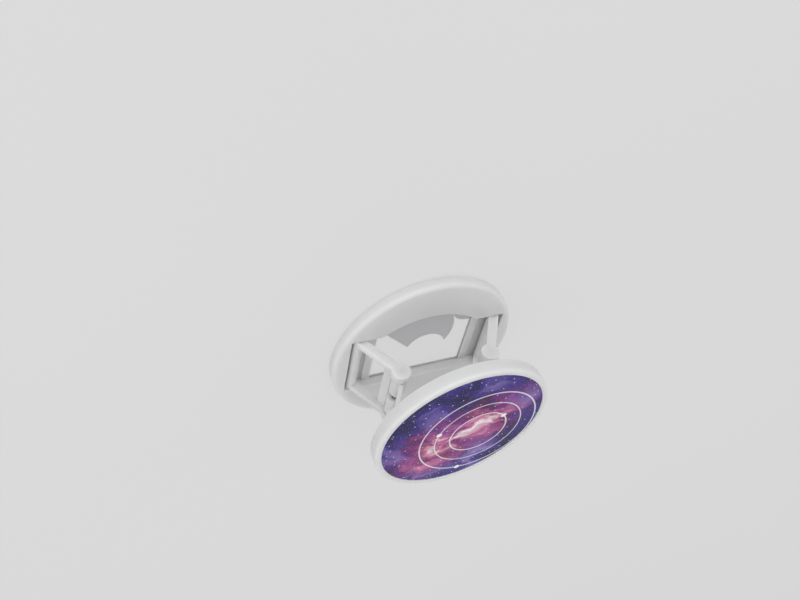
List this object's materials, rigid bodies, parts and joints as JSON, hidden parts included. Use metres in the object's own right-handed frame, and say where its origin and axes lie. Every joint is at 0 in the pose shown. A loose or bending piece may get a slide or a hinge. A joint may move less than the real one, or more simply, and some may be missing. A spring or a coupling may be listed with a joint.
{
  "type": "folding phone grip",
  "caption": "Round phone grip: a base plate that sticks on, knee-jointed legs on both sides and a printed disc that folds flat on to it.",
  "frame": {"origin": "centre of the adhesive face, the face that sticks to the phone", "axes": "+Z out of the phone, from the base to the disc; +Y along the hinge pins, towards the curved edge of the base window; +X to the right legs"},
  "size_m": [0.039, 0.039, 0.0223],
  "materials": {
    "white_plastic": "moulded satin gloss",
    "pin_steel": "drawn wire",
    "adhesive": "matte foam",
    "film": "clear adhesive film",
    "print": "gloss print"
  },
  "bodies": {
    "base": {"adhesive_pad": "adhesive", "base_plate": "white_plastic", "left_base_pin": "pin_steel", "right_base_pin": "pin_steel"},
    "left_lower": {"left_lower_leg": "white_plastic", "left_knee_pin": "pin_steel"},
    "left_upper": {"left_upper_leg": "white_plastic"},
    "disc": {"left_disc_pin": "pin_steel", "right_disc_pin": "pin_steel", "hinge_carrier": "white_plastic", "disc_cap": "white_plastic", "insert_film": "film", "printed_insert": "print"},
    "right_lower": {"right_lower_leg": "white_plastic", "right_knee_pin": "pin_steel"},
    "right_upper": {"right_upper_leg": "white_plastic"}
  },
  "joints": [
    {"name": "left_base_hinge", "type": "hinge", "parent": "base", "child": "left_lower", "pos_m": [-0.0148, 0, 0.00165], "axis": [0, 1, 0], "range_deg": [0, 53.16]},
    {"name": "left_knee", "type": "hinge", "parent": "left_lower", "child": "left_upper", "pos_m": [-0.0095, 0, 0.01073], "axis": [0, 1, 0], "range_deg": [-106.32, 0]},
    {"name": "left_disc_hinge", "type": "hinge", "parent": "left_upper", "child": "disc", "pos_m": [-0.0148, 0, 0.0198], "axis": [0, 1, 0], "range_deg": [0, 53.16]},
    {"name": "right_base_hinge", "type": "hinge", "parent": "base", "child": "right_lower", "pos_m": [0.0148, 0, 0.00165], "axis": [0, -1, 0], "range_deg": [0, 53.16]},
    {"name": "right_knee", "type": "hinge", "parent": "right_lower", "child": "right_upper", "pos_m": [0.0095, 0, 0.01073], "axis": [0, -1, 0], "range_deg": [-106.32, 0]}
  ],
  "couplings": [
    {"joint": "left_knee", "follows": "left_base_hinge", "ratio": -2},
    {"joint": "left_disc_hinge", "follows": "left_base_hinge", "ratio": 1},
    {"joint": "right_base_hinge", "follows": "left_base_hinge", "ratio": 1},
    {"joint": "right_knee", "follows": "left_base_hinge", "ratio": -2}
  ]
}
